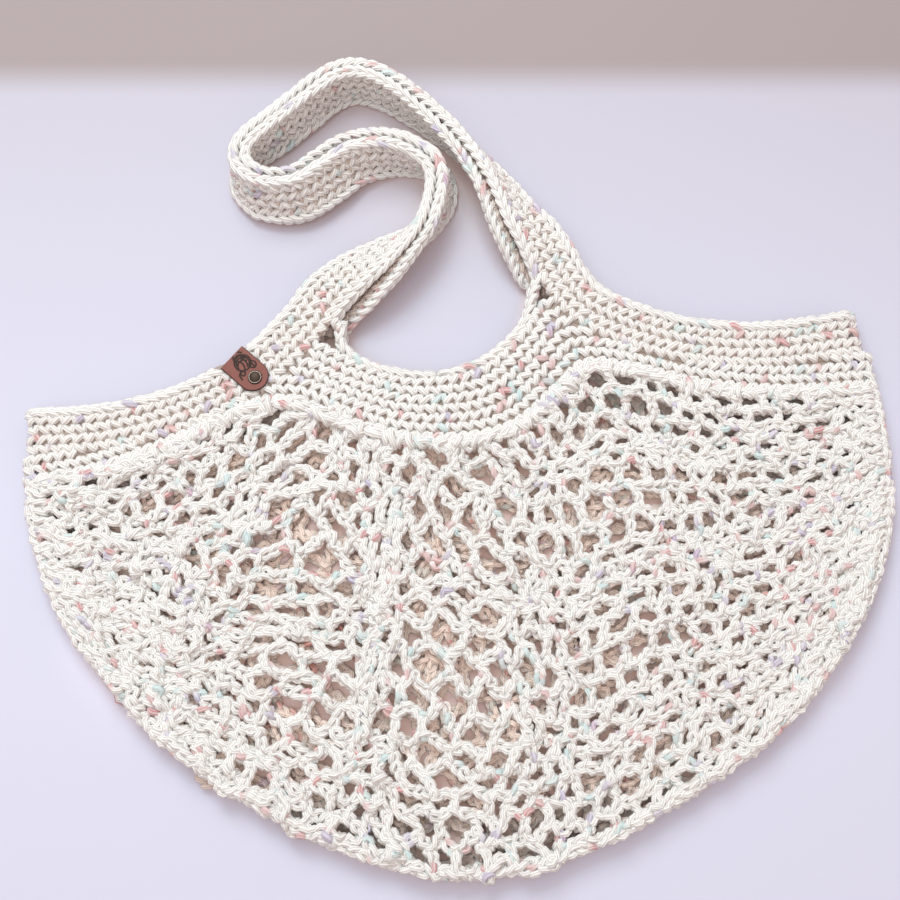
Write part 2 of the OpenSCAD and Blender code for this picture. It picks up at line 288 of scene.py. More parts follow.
def fleck_amounts(s, rng):
    """How much of each fleck colour the yarn carries at lengths s, one column per colour, and a
    last column of 1, the share left free of painted shade.
    """
    amounts = np.zeros((len(s), 4))
    amounts[:, 3] = 1
    for _ in range(rng.poisson(s[-1] / FLECK_EVERY)):
        middle = rng.uniform(0, s[-1])
        half = rng.uniform(*FLECK_LENGTHS) / 2
        colour = rng.choice(3, p=FLECK_SHARES)
        reach = blend((half - np.abs(s - middle)) / 1.5 + 0.5) * rng.uniform(0.6, 1)
        amounts[:, colour] = np.maximum(amounts[:, colour], reach)
    return amounts


def carried_normals(points):
    """Tangents and steady normals for a stack of equally long yarns: (yarns, points, 3)."""
    tangent = unit(np.gradient(points, axis=1))
    normal = np.empty_like(tangent)
    helper = np.where(np.abs(tangent[:, 0, 2:3]) < 0.8, [[0.0, 0.0, 1.0]], [[1.0, 0.0, 0.0]])
    current = unit(np.cross(tangent[:, 0], helper))
    for i in range(points.shape[1]):
        t = tangent[:, i]
        current = unit(current - t * np.sum(current * t, axis=1, keepdims=True))
        normal[:, i] = current
    return tangent, normal


def padded(strand, length):
    """A strand made up to a number of points with a very short straight tail."""
    extra = length - len(strand)
    tail = np.repeat(strand[-1:], extra, 0) + np.arange(1, extra + 1)[:, None] * 1e-3
    return np.vstack([strand, tail])


def yarn_mesh(name, strands, radius, seed, sides, layer=0, inner=0):
    """One mesh of closed yarn tubes. Each strand is an array of points in mm.

    Where layer is 1 (front) or -1 (back), the yarn takes more painted warm shade the deeper it lies
    in its layer.
    inner is how much painted warm shade the whole piece takes, the shade of the fabric's inner
    side."""
    rng = np.random.default_rng(seed)
    longest = max(len(s) for s in strands)
    stack = np.stack([padded(strand, longest) for strand in strands])
    stack[..., 2] = np.maximum(stack[..., 2], radius + 0.05)  # nothing goes through the tabletop
    tangent, normal = carried_normals(stack)
    across = np.cross(tangent, normal)
    angle = 2 * np.pi * np.arange(sides) / sides
    ring = np.cos(angle)[:, None] * normal[:, :, None] + np.sin(angle)[:, None] * across[:, :, None]
    verts, corners, starts, ply, dye_and_shade = [], [], [], [], []
    offset, loops = 0, 0
    for i, strand in enumerate(strands):
        n = len(strand)
        s = lengths_along(stack[i, :n])
        swell = radius * (1 + rng.normal(0, 0.035, n))[:, None, None]
        verts.append((stack[i, :n, None] + ring[i, :n] * swell).reshape(-1, 3))
        ring_start = offset + np.arange(n - 1)[:, None] * sides
        a = (ring_start + np.arange(sides)).ravel()
        b = (ring_start + (np.arange(sides) + 1) % sides).ravel()
        quads = np.stack([a, b, b + sides, a + sides], 1)
        phase = s * 2 * np.pi / PLY_TWIST + rng.uniform(0, 6)
        here, there = np.repeat(phase[:-1], sides), np.repeat(phase[1:], sides)
        step = 2 * np.pi * PLIES / sides
        turn = np.tile(np.arange(sides), n - 1) * 2 * np.pi * PLIES / sides
        phases = [here + turn, here + turn + step, there + turn + step, there + turn]
        ply.append(np.stack(phases, 1).ravel())
        caps = np.concatenate([
            offset + np.arange(sides)[::-1], offset + (n - 1) * sides + np.arange(sides)])
        corners.append(np.concatenate([quads.ravel(), caps]))
        ply.append(np.zeros(2 * sides))
        starts.append(loops + np.concatenate([
            np.arange(len(quads)) * 4, len(quads) * 4 + np.array([0, sides])]))
        amounts = np.repeat(fleck_amounts(s, rng), sides, axis=0)
        # Painted warm shade: the last column, the share left unshaded, falls for yarn deep in its
        # layer and by inner for the whole piece.
        if layer:
            window = min(n, LEVEL_WINDOW)
            heights = np.pad(stack[i, :n, 2], window // 2, "edge")
            level = np.convolve(heights, np.ones(window) / window, "valid")[:n]
            rise = layer * (verts[-1][:, 2] - np.repeat(level, sides))
            amounts[:, 3] = blend((rise + WARM_BELOW) / WARM_SPAN)
        amounts[:, 3] -= inner
        dye_and_shade.append(amounts)
        offset += n * sides
        loops += len(quads) * 4 + 2 * sides
    mesh = bpy.data.meshes.new(name)
    coords = np.concatenate(verts) * MM
    mesh.vertices.add(len(coords))
    mesh.vertices.foreach_set("co", coords.ravel())
    mesh.loops.add(loops)
    mesh.loops.foreach_set("vertex_index", np.concatenate(corners).astype(np.int32))
    first = np.concatenate(starts).astype(np.int32)
    mesh.polygons.add(len(first))
    mesh.polygons.foreach_set("loop_start", first)
    mesh.update(calc_edges=True)
    plies = mesh.attributes.new("ply", "FLOAT", "CORNER")
    plies.data.foreach_set("value", np.concatenate(ply))
    dyes = mesh.attributes.new("dye_and_shade", "FLOAT_COLOR", "POINT")
    dyes.data.foreach_set("color", np.concatenate(dye_and_shade).ravel())
    return smooth_piece(name, mesh, cotton)


def smooth_piece(name, mesh, material):
    """A smoothly shaded object of the mesh in the scene."""
    mesh.shade_smooth()
    mesh.materials.append(material)
    piece = bpy.data.objects.new(name, mesh)
    scene.collection.objects.link(piece)
    return piece


def plain_mesh(name, verts, faces, material):
    """A piece from plain lists of vertices, in mm, and faces."""
    mesh = bpy.data.meshes.new(name)
    faces = [tuple(int(i) for i in face) for face in faces]
    mesh.from_pydata((np.asarray(verts) * MM).tolist(), [], faces)
    mesh.update()
    return smooth_piece(name, mesh, material)


def sheet_mesh(name, across, thickness):
    """A thin closed sheet through a stack of equally long lines, kept behind the stitches, in the
    dark colour of painted shade.
    """
    grid = np.asarray(across)
    rows, columns = grid.shape[:2]
    normal = unit(np.cross(np.gradient(grid, axis=1), np.gradient(grid, axis=0)))
    skins = grid + normal * thickness / 2, grid - normal * thickness / 2
    verts = np.concatenate([skin.reshape(-1, 3) for skin in skins])
    n = rows * columns
    index = np.arange(n).reshape(rows, columns)
    a, b, c, d = index[:-1, :-1], index[:-1, 1:], index[1:, 1:], index[1:, :-1]
    top = np.stack([a, b, c, d], -1).reshape(-1, 4)
    rim = np.concatenate([index[0, :], index[1:, -1], index[-1, -2::-1], index[-2:0:-1, 0]])
    after = np.roll(rim, -1)
    walls = np.stack([after, rim, rim + n, after + n], 1)
    return plain_mesh(name, verts, np.concatenate([top, top[:, ::-1] + n, walls]), shade)


# ---- materials
def new_material(name):
    material = bpy.data.materials.new(name)
    material.use_nodes = True
    tree = material.node_tree
    return material, tree, tree.nodes["Principled BSDF"]


def feed(tree, node, inputs):
    """Gives a node's inputs their links or constants; None leaves an input as it is."""
    for key, value in inputs.items():
        if isinstance(value, bpy.types.NodeSocket):
            tree.links.new(value, node.inputs[key])
        elif value is not None:
            node.inputs[key].default_value = value


def add(tree, kind, inputs, **settings):
    """Adds a node and returns its outputs."""
    node = tree.nodes.new("ShaderNode" + kind)
    for key, value in settings.items():
        setattr(node, key, value)
    feed(tree, node, inputs)
    return node.outputs


def mix_colour(tree, factor, a, b, kind="MIX"):
    return add(tree, "Mix", {0: factor, 6: a, 7: b}, data_type="RGBA", blend_type=kind)[2]


def calc(tree, kind, *values, clamp=False):
    return add(tree, "Math", dict(enumerate(values)), operation=kind, use_clamp=clamp)[0]


def attribute(tree, name):
    return add(tree, "Attribute", {}, attribute_name=name)


def ramp(tree, value, low, high, kind="LINEAR"):
    """A value that rises from 0 to 1 while another goes from low to high."""
    return add(tree, "MapRange", {0: value, 1: low, 2: high}, interpolation_type=kind)["Result"]


def noise(tree, scale, detail, stretch=None):
    place = add(tree, "TexCoord", {})["Object"]
    if stretch:
        place = add(tree, "Mapping", {"Vector": place, "Scale": stretch})["Vector"]
    return add(tree, "TexNoise", {"Vector": place, "Scale": scale, "Detail": detail})["Fac"]


def tinted_hollows(tree, colour, hollow, reach, gain):
    """The colour, turning to the hollow's where light is shut out within reach, in metres."""
    open_to_light = add(tree, "AmbientOcclusion", {"Distance": reach}, samples=4)["AO"]
    amount = calc(tree, "MULTIPLY", open_to_light, gain, clamp=True)
    return mix_colour(tree, amount, hollow, colour)


def bump(tree, height, strength, distance, before=None):
    inputs = {"Strength": strength, "Distance": distance, "Height": height, "Normal": before}
    return add(tree, "Bump", inputs)["Normal"]


CREAM = (0.93, 0.92, 0.905, 1)
# Painted shade of the ply grooves, also the colour of the random soiled mottle.
CREAM_SHADE_AND_SOIL = (0.60, 0.55, 0.51, 1)
# Painted warm shade, multiplied onto yarn that lies deep or on the fabric's inner side.
WARM_SHADE = (0.85, 0.71, 0.64, 1)
CORAL = (0.60, 0.21, 0.22, 1)
AQUA = (0.50, 0.70, 0.71, 1)
LILAC = (0.44, 0.38, 0.58, 1)
# Painted shade: the dark colours of the sheets behind the stitches.
SHADE_SHEET_DARK, SHADE_SHEET_LIGHT = (0.27, 0.20, 0.165, 1), (0.42, 0.34, 0.29, 1)
LEATHER, LEATHER_DARK, LEATHER_FIBRE = (
    (0.215, 0.075, 0.060, 1), (0.155, 0.052, 0.042, 1), (0.30, 0.112, 0.088, 1))
BURNT = (0.022, 0.011, 0.008, 1)
# The last of these is a painted highlight for the rivet's ring.
BRASS_DARK, BRASS_BROWN, BRASS_HIGHLIGHT = (
    (0.030, 0.020, 0.015, 1), (0.065, 0.042, 0.030, 1), (0.75, 0.66, 0.58, 1))
TABLE_NEAR, TABLE_FAR, TABLE_FAR_BAND = (
    (0.61, 0.61, 0.745, 1), (0.50, 0.475, 0.56, 1), (0.325, 0.268, 0.272, 1))
SHADE_ROUND, SHADE_BESIDE = (0.56, 0.43, 0.40, 1), (0.92, 0.66, 0.57, 1)


def cotton_material():
    """Cream yarn with ridged plies and dyed flecks, with painted shade in the ply grooves and
    painted warm shade where it lies deep and on the fabric's inner side.
    """
    material, tree, shader = new_material("cotton_yarn")
    dye_and_shade = attribute(tree, "dye_and_shade")
    wave = calc(tree, "SINE", attribute(tree, "ply")["Fac"])
    ridge = calc(tree, "MULTIPLY_ADD", wave, 0.5, 0.5)
    # Painted shade: the grooves between the plies are darkened.
    groove = calc(tree, "POWER", calc(tree, "SUBTRACT", 1.0, ridge), 2.2)
    depth = calc(tree, "MULTIPLY", groove, 0.85, clamp=True)
    base = mix_colour(tree, depth, CREAM, CREAM_SHADE_AND_SOIL)
    soiled = calc(tree, "MULTIPLY", noise(tree, 45, 3), 0.12)
    base = mix_colour(tree, soiled, base, CREAM_SHADE_AND_SOIL)
    dyes = add(tree, "SeparateColor", {0: dye_and_shade["Color"]})
    streak = calc(tree, "ADD", calc(tree, "MULTIPLY", ridge, 0.75), 0.30)
    for share, colour in zip(dyes, (CORAL, AQUA, LILAC)):
        amount = calc(tree, "MULTIPLY", share, streak, clamp=True)
        base = mix_colour(tree, amount, base, colour)
    # Painted warm shade, taken where the attribute's alpha falls below 1.
    warm = mix_colour(tree, 1.0, base, WARM_SHADE, "MULTIPLY")
    surface = bump(tree, ridge, 0.7, 0.00045)
    feed(tree, shader, {
        "Base Color": mix_colour(tree, dye_and_shade["Alpha"], warm, base),
        "Normal": bump(tree, noise(tree, 1500, 2), 0.35, 0.0002, surface),
        "Roughness": 0.88, "Specular IOR Level": 0.25,
        "Sheen Weight": 0.25, "Sheen Roughness": 0.5})
    return material


def leather_material():
    """Mottled brown leather, dark where it is burnt and on its faces that lie on the yarn."""
    material, tree, shader = new_material("tag_leather")
    base = mix_colour(tree, noise(tree, 260, 3), LEATHER, LEATHER_DARK)
    fibrous = calc(tree, "MULTIPLY", noise(tree, 500, 3, (1.0, 0.25, 1.0)), 0.35)
    base = mix_colour(tree, fibrous, base, LEATHER_FIBRE)
    feed(tree, shader, {
        "Base Color": mix_colour(tree, attribute(tree, "burn")["Fac"], base, BURNT),
        "Normal": bump(tree, noise(tree, 1400, 4), 0.35, 0.0002),
        "Roughness": 0.66, "Specular IOR Level": 0.2})
    return material


def metal_material():
    """Tarnished brass, with a painted highlight on the rivet's ring."""
    material, tree, shader = new_material("antique_brass")
    tarnish = noise(tree, 700, 4)
    base = mix_colour(tree, tarnish, BRASS_DARK, BRASS_BROWN)
    feed(tree, shader, {
        "Base Color": mix_colour(tree, attribute(tree, "ring_highlight")["Fac"], base, BRASS_HIGHLIGHT),
        "Normal": bump(tree, tarnish, 0.2, 0.0001), "Metallic": 0.9, "Roughness": 0.5})
    return material


def shade_material():
    """Painted shade: the dark colour of the sheets that stand for the shade deep inside the solid
    fabric.
    """
    material, tree, shader = new_material("painted_shade_sheet")
    mottle = noise(tree, 400, 3)
    feed(tree, shader, {
        "Base Color": mix_colour(tree, mottle, SHADE_SHEET_DARK, SHADE_SHEET_LIGHT),
        "Normal": bump(tree, mottle, 0.5, 0.0006), "Roughness": 0.95})
    return material


def tabletop_material():
    """A pale top that darkens away from the viewer, with painted warm shade round the bag and right
    beside it.
    """
    material, tree, shader = new_material("tabletop")
    y = add(tree, "SeparateXYZ", {0: add(tree, "TexCoord", {})["Object"]})["Y"]
    base = mix_colour(tree, ramp(tree, y, -0.05, 0.2), TABLE_NEAR, TABLE_FAR)
    # A darker band across the far side of the top.
    base = mix_colour(tree, ramp(tree, y, 0.196, 0.222, "SMOOTHSTEP"), base, TABLE_FAR_BAND)
    # Painted warm shade round the bag and right beside it.
    base = tinted_hollows(tree, base, SHADE_ROUND, 0.06, 1.5)
    base = tinted_hollows(tree, base, SHADE_BESIDE, 0.02, 2.2)
    feed(tree, shader, {"Base Color": base, "Roughness": 0.75, "Specular IOR Level": 0.2})
    return material


cotton = cotton_material()
leather = leather_material()
metal = metal_material()
shade = shade_material()

# ---- net
NET_MARGIN, SIDE_MARGIN = 4.0, 3.2  # from the fold to the net, and how much more along the sides
GATHER_AT, GATHER_REACH = 0.45, 0.24  # shares across the net where its rows run up into the gather
GATHER_LOSS, GATHER_PULL = 0.55, 0.32  # how much shorter it is there, and how far drawn sideways
LOOSE_AT, LOOSE_REACH = 0.44, 0.17  # shares across the net where the rows hang loosest
ROW_STEPS = 8  # points of a row's line from one post to the next
outline = smooth(OUTLINE)
border = smooth(BORDER)
band_top = smooth(BAND_TOP)
place_index = np.arange(len(outline)) / SPAN
side_share = 1 - blend(place_index - LEFT_TURN + 0.7) * blend(RIGHT_TURN + 0.7 - place_index)
net_bounds = outline + left_of(outline) * (NET_MARGIN + SIDE_MARGIN * side_share)[:, None]


def share_of(line):
    """A function that reads a flat line at a share of its length."""
    s = lengths_along(line)
    return lambda f: np.stack([np.interp(f, s / s[-1], line[:, k]) for k in (0, 1)], -1)


def net_side(first, last):
    """The net's boundary from one outline point to another."""
    return net_bounds[first * SPAN:last * SPAN + 1]


# The net's top, bottom, left and right.
NET_EDGES = [share_of(line) for line in (
    border, net_side(LEFT_TURN, RIGHT_TURN), net_side(LEFT_NET, LEFT_TURN),
    net_side(RIGHT_TURN, RIGHT_NET)[::-1])]
NET_CORNERS = [edge(np.array([f]))[0] for edge in NET_EDGES[:2] for f in (0, 1)]


def in_net(u, v):
    """The place at share u across the net and share v of the way down it."""
    top, bottom, left, right = NET_EDGES
    u1, v1 = u[:, None], v[:, None]
    a, b, c, d = NET_CORNERS
    return ((1 - v1) * top(u) + v1 * bottom(u) + (1 - u1) * left(v) + u1 * right(v)
            - (1 - u1) * (1 - v1) * a - u1 * (1 - v1) * b - (1 - u1) * v1 * c - u1 * v1 * d)


class Net:
    """One layer of the net: rows of chain that swag between short posts."""

    def __init__(self, side, seed):
        self.side = side
        self.rng = np.random.default_rng(seed)
        self.z = MID_Z + side * FOLD_R
        crossings = (NET_ROWS + 1, 2 * NET_COLUMNS + 1, 3)
        self.slack = self.rng.normal(0, 1, crossings) * [2.8, 2.5, 1.5]
        draw = self.rng
        self.waves = [
            (draw.uniform(1.5, 5.5, 2), draw.uniform(0, 6.3, 2), draw.normal(0, 0.0045, 2))
            for _ in range(7)]

    def jitter(self, u, v):
        """A random offset shared by everything near one crossing."""
        x = np.clip(u * 2 * NET_COLUMNS, 0, 2 * NET_COLUMNS - 1e-6)
        y = np.clip(v * NET_ROWS, 0, NET_ROWS - 1e-6)
        i, j = y.astype(int), x.astype(int)
        fy, fx = (y - i)[:, None], (x - j)[:, None]
        t = self.slack
        inside = np.clip(np.minimum(u, 1 - u) * 40, 0, 1)
        fade = (inside * (1 - 0.4 * blend((u - 0.5) / 0.15)))[:, None]
        return fade * ((1 - fy) * ((1 - fx) * t[i, j] + fx * t[i, j + 1])
                       + fy * ((1 - fx) * t[i + 1, j] + fx * t[i + 1, j + 1]))

    def depth(self, u, v):
        """Share of the way down the net. Below 0, a row has run up into the gather round."""
        middle = blend(1 - np.abs(u - GATHER_AT) / GATHER_REACH)
        return v - (v > 0) * GATHER_LOSS * middle * (1 - np.sqrt(np.clip(v, 0, 1)))

    def place(self, u, v):
        """Points of the layer: shares across and down, drawn to the gather, rippled and slack."""
        deep = np.maximum(self.depth(u, v), 0)
        du, dv = np.zeros_like(u), np.zeros_like(u)
        for (fu, fv), (a, b), (su, sv) in self.waves:
            du = du + su * np.sin(6.3 * fu * u + a + 3 * v)
            dv = dv + sv * np.sin(6.3 * fv * v + b + 4 * u)
        inside = np.sin(np.pi * np.clip(u, 0, 1)) * np.sin(np.pi * np.clip(deep, 0, 1))
        near = np.exp(-((u - GATHER_AT) / LOOSE_REACH)**2)
        drawn = GATHER_PULL * (GATHER_AT - u) * near * (1 - np.clip(v, 0, 1))
        x = np.clip(u + drawn + 1.6 * du * inside, 0, 1)
        y = np.clip(deep + 1.8 * dv * inside, 0, 1.02)
        rest = blend(np.minimum(u, 1 - u) / 0.07) * blend(deep / 0.16) * blend((1.04 - v) / 0.1)
        z = self.z - (NET_SAG * rest if self.side > 0 else 0)
        return np.column_stack([in_net(x, y), z + np.zeros(len(u))]) + self.jitter(u, v)

    def swag(self, row, u):
        """How far a row hangs between two posts at share u, as a share of the row height."""
        loose = np.exp(-((u - LOOSE_AT) / LOOSE_REACH)**2) * (1 - 0.75 * row / NET_ROWS)
        return (0.13 + 0.65 * loose) * (row < NET_ROWS)

    def rows(self, row):
        """The strands of one row, which runs up into the gather round under the hand hole."""
        u = np.linspace(0, 1, NET_COLUMNS * ROW_STEPS + 1)
        wave = 0.5 - 0.5 * np.cos(2 * np.pi * (u * NET_COLUMNS - 0.5 * (row % 2)))
        v = (row + self.swag(row, u) * wave) / NET_ROWS
        line = self.place(u, v)
        for a, b in unbroken_runs(self.depth(u, v if row else 0 * v) >= 0):
            ribbon = layer_ribbon(line[a:b, :2], line[a:b, 2], self.side, (a == 0, b == len(u)))
            yield chain(ribbon, CHAIN_P, self.rng, roll=0.8, bulk=1.38, mess=0.045)

    def posts(self, row):
        """The strands that hang row + 1 from row."""
        u = (np.arange(NET_COLUMNS - row % 2) + (1.0 if row % 2 else 0.5)) / NET_COLUMNS
        u = u[self.depth(u, np.full(len(u), (row + 1) / NET_ROWS)) > 0.02]
        upper = self.place(u, (row + self.swag(row, u)) / NET_ROWS)
        lower = self.place(u, np.full(len(u), (row + 1) / NET_ROWS))
        bend = self.rng.normal(0, 1, upper.shape) * [0.8, 0.4, 0.4] + [0, 0, 0.8 * self.side]
        for a, b, c in zip(upper, (upper + lower) / 2 + bend, lower):
            bow = (b - (a + c) / 2) / 4
            ribbon = Ribbon([a, (a + b) / 2 + bow, b, (b + c) / 2 + bow, c], [0, 0, self.side])
            yield chain(ribbon, POST_P, self.rng, roll=0.8, bulk=1.15, mess=0.05)


# ---- straps
class Strap:
    """One handle's strap and its rows' run along the mouth: middle line, inward and outward."""

    def __init__(self, side):
        flat = smooth(LEAD_IN + HANDLE + LEAD_OUT)
        xy, roll = flat[:, :2], np.radians(flat[:, 2])
        s = lengths_along(xy)
        rooted = np.minimum(s - s[FIRST_ROOT], s[LAST_ROOT] - s)
        right = np.column_stack([-left_of(xy), np.zeros(len(xy))])
        up = np.array([0.0, 0.0, 1.0])
        sin, cos = np.sin(roll)[:, None], np.cos(roll)[:, None]
        inward = cos * right + sin * up
        outward = cos * up - sin * right
        gap = STRAP_GAP + (POCKET_H - STRAP_GAP) * cos**2
        lift = STRAP_W / 2 * abs(sin) + (STRAP_T + gap / 2) * abs(cos)
        middle = np.column_stack([xy, lift[:, 0]]) + side * outward * (gap + STRAP_T) / 2
        if side < 0:
            middle = middle + inward * PEEK * cos**2 * blend(rooted / 14)[:, None]
        self.side, self.middle = side, middle
        self.inward, self.outward = inward, outward * side

    def line(self, w, out, facing, wrap=True):
        """A ribbon along the strap, w inward of its middle and out towards its outer face."""
        points = self.middle + self.inward * w + self.outward * out
        if wrap:
            points, facing = round_fold(points, facing, self.side, FOLD_R + out)
        return Ribbon(points, facing)


def finish_piece(piece, node_names=(), handle=None):
    """Fixes a piece to the bag, or bakes a handle's piece in place, and hides the CAD nodes it
    stands for.
    """
    if handle:
        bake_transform(piece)
    else:
        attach(piece, "bag")
    if node_names:
        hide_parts(*node_names)


BAND_SAMPLES = 600  # points of a band row's line, of which every third is used
SIDE_TRIM = 7  # of them cut from each end, where the row turns down the side
STRIP_REACH = 40  # points further than this from a strip are clear of it
STRIP = smooth(LEAD_IN + HANDLE[:2])[:, :2], smooth(HANDLE[-2:] + LEAD_OUT)[:, :2]


def press_under_tag(piece):
    """Squeezes the yarn of a piece in between the two leaves of the folded tag."""
    count = len(piece.data.vertices)
    co = np.empty(count * 3)
    piece.data.vertices.foreach_get("co", co)
    co = co.reshape(-1, 3) / MM
    along = np.array([math.cos(TAG_TURN), math.sin(TAG_TURN)])
    aside = np.array([-along[1], along[0]])
    x, y = (co[:, :2] - TAG_AT) @ along, (co[:, :2] - TAG_AT) @ aside
    grip = blend((TAG_W / 2 + 1.6 - abs(y)) / 1.6) * blend((TAG_LEN + 1 - x) / 2) * (x > -9)
    squeezed = np.clip(co[:, 2], FRONT_LOW + 0.15, FRONT_HIGH - 0.15)
    co[:, 2] += (squeezed - co[:, 2]) * grip
    co[:, :2] += (np.maximum(LEATHER_T + 0.1 - x, 0) * grip)[:, None] * along
    piece.data.vertices.foreach_set("co", (co * MM).ravel())
    piece.data.update()


def below_strip(points, reach):
    """Which flat points lie more than reach inward of the strips' middle lines, or clear."""
    keep = np.ones(len(points), bool)
    for line in STRIP:
        gap = np.linalg.norm(points[:, None] - line[None], axis=2)
        nearest = gap.argmin(axis=1)
        inward = -np.sum((points - line[nearest]) * left_of(line)[nearest], axis=1)
        keep &= (gap.min(axis=1) > STRIP_REACH) | (inward > reach)
    return keep


def band_row_lines(side):
    """The rows from the net's border to the strips and the hand hole: row numbers and ribbons."""
    z = MID_Z + side * FOLD_R
    for row in range(BAND_ROWS):
        share = (row + 0.5) / BAND_ROWS
        line = border * (1 - share) + band_top * share
        where = np.linspace(0, len(line) - 1, BAND_SAMPLES)
        fine = np.column_stack([np.interp(where, np.arange(len(line)), line[:, k]) for k in (0, 1)])
        keep = below_strip(fine, STRAP_W / 2 - 2.8)
        keep[:SIDE_TRIM] = keep[-SIDE_TRIM:] = False
        for a, b in unbroken_runs(keep):
            ends = a == SIDE_TRIM, b == len(fine) - SIDE_TRIM
            ribbon = layer_ribbon(fine[a:b:3], z, side, ends)
            # The back's rows run the other way, so that they grow towards the mouth as well.
            yield row, ribbon if side > 0 else Ribbon(ribbon.p[::-1], ribbon.n[::-1])



def lumps(ribbon, rng):
    """A strand wound over a ribbon in puffy lumps, whose windings cross like a small ball's."""
    count = int(ribbon.length / LUMP_P)
    t = np.arange(count * LUMP_WRAPS * LUMP_STEPS) / (LUMP_WRAPS * LUMP_STEPS)
    lump, inside = t.astype(int), t % 1
    middle = blend(np.minimum(lump + 1, count - lump) * LUMP_P / 130)
    size = rng.uniform(2.8, 4.4, count)[lump] * (0.2 + 0.8 * middle)
    size = size * (0.55 + 0.45 * np.sin(np.pi * inside))
    lean = rng.uniform(-60, 60, count)[lump] + inside * rng.uniform(-110, 110, count)[lump]
    lean = np.radians(lean)[:, None]
    turn = 2 * np.pi * LUMP_WRAPS * t
    base, along, across, face = ribbon.at((lump + 0.05 + 0.95 * inside) * LUMP_P)
    wound = across * np.cos(lean) + along * np.sin(lean)
    shape = (base + wound * (size * 1.1 * np.cos(turn))[:, None]
             + face * (0.6 + size * 0.9 * np.sin(turn))[:, None] - across)
    return shape + rng.normal(0, 0.35, shape.shape)


def yarn_piece(name, strands, radius, seed, sides, nodes, handle=None, pressed=False, **looks):
    """A piece of yarn, pressed under the tag if it passes there, and fixed to the bag unless it is
    a handle's.
    """
    piece = yarn_mesh(name, strands, radius, seed, sides, **looks)
    if pressed:
        press_under_tag(piece)
    finish_piece(piece, nodes, handle=handle)


def build_net(side, name):
    """One layer of the net, in three pieces of rows and one of posts."""
    net = Net(side, 7 + side)
    rows = [strand for r in range(NET_ROWS + 1) for strand in net.rows(r)]
    third = -(-len(rows) // 3)
    for k, part in enumerate(("upper", "middle", "lower")):
        strands = rows[k * third:(k + 1) * third]
        yarn_piece(f"{name}_net_{part}", strands, NET_R, 80 + 3 * k + side, 5,
                   [f"{name}_net"], layer=side)
    posts = [strand for r in range(NET_ROWS) for strand in net.posts(r)]
    yarn_piece(f"{name}_net_posts", posts, NET_R * 0.95, 17 + side, 5, [f"{name}_net"], layer=side)


def build_band(side, name, rng):
    """The solid rows between the net and the mouth, with the puffy round that gathers the net."""
    gather = layer_ribbon(border[2:-2], MID_Z + side * (FOLD_R + 0.4), side)
    strands = [chain(gather, GATHER_P, rng, roll=0.5, bulk=0.7), lumps(gather, rng)]
    strands += [single(line, rng, BAND_ROW_H, 0.1, row % 2) for row, line in band_row_lines(side)]
    yarn_piece(f"{name}_band_rows", strands, SKIN_R, 20 + side, 5,
               [f"{name}_band", f"{name}_gather_round", f"{name}_scoop_rim"],
               pressed=side > 0, layer=side)


def build_strap(side, name, rng):
    """A handle's strap: rows on both of its faces and a slip-stitched braid along both edges."""
    handle, pressed = f"{name}_handle", side > 0
    strap = Strap(side)
    middles = [(k - (STRAP_ROWS - 1) / 2) * ROW_H for k in range(STRAP_ROWS)]
    strands = [single(strap.line(w, 0.4, strap.outward), rng, flip=k % 2)
               for k, w in enumerate(middles)]
    # inner paints a little warm shade on the strap's outer rows.
    yarn_piece(f"{name}_strap_rows", strands, SKIN_R, 23 + side, 5,
               [f"{name}_strap", f"{name}_left_rim", f"{name}_right_rim"],
               handle, pressed, inner=0.15)
    strands = [single(strap.line(w, -0.4, -strap.outward, wrap=False), rng, flip=k % 2)
               for k, w in enumerate(middles)]
    # inner paints most of the warm shade on the rows of the strap's shaded inner face.
    yarn_piece(f"{name}_strap_inner_rows", strands, SKIN_R, 26 + side, 5,
               [f"{name}_strap"], handle, pressed, inner=0.9)

    edge_rng = np.random.default_rng(60 + side)
    facing = unit(-0.7 * strap.inward + 0.8 * strap.outward)
    braids = [strap.line(-STRAP_W / 2 + 0.9, 1.0, facing), hand_hole(strap)]
    for braid, edge, seed, under in zip(braids, ("outer", "inner"), (29, 32), (pressed, False)):
        strand = chain(braid, BRAID_P, edge_rng, roll=0.12, bulk=0.95, stitch=BRAID)
        yarn_piece(f"{name}_{edge}_braid", [strand], BRAID_R, seed + side, 6,
                   [f"{name}_strap_{edge}_edging"], handle, under)
    return strap


def hand_hole(strap):
    """The closed edge round the hand hole, along the strap and the scoop in the band."""
    handle = slice(FIRST_ROOT, LAST_ROOT + 1)
    inner = (strap.middle + strap.inward * (STRAP_W / 2 - 1.4))[handle][::-1]
    inner_facing = unit(strap.inward + 0.55 * strap.outward)[handle][::-1]
    scoop = smooth(SCOOP)
    left = left_of(scoop)
    level = np.full(len(scoop), MID_Z + strap.side * FOLD_R)
    rim = np.column_stack([scoop + left * 1.2, level])
    rim_facing = unit(np.column_stack([left, np.full(len(scoop), 0.55 * strap.side)]))
    cut = len(scoop) // 2
    points = np.vstack([rim[cut:-2], inner[3:-3], rim[2:cut]])
    facing = np.vstack([rim_facing[cut:-2], inner_facing[3:-3], rim_facing[2:cut]])
    return Ribbon(points, facing)


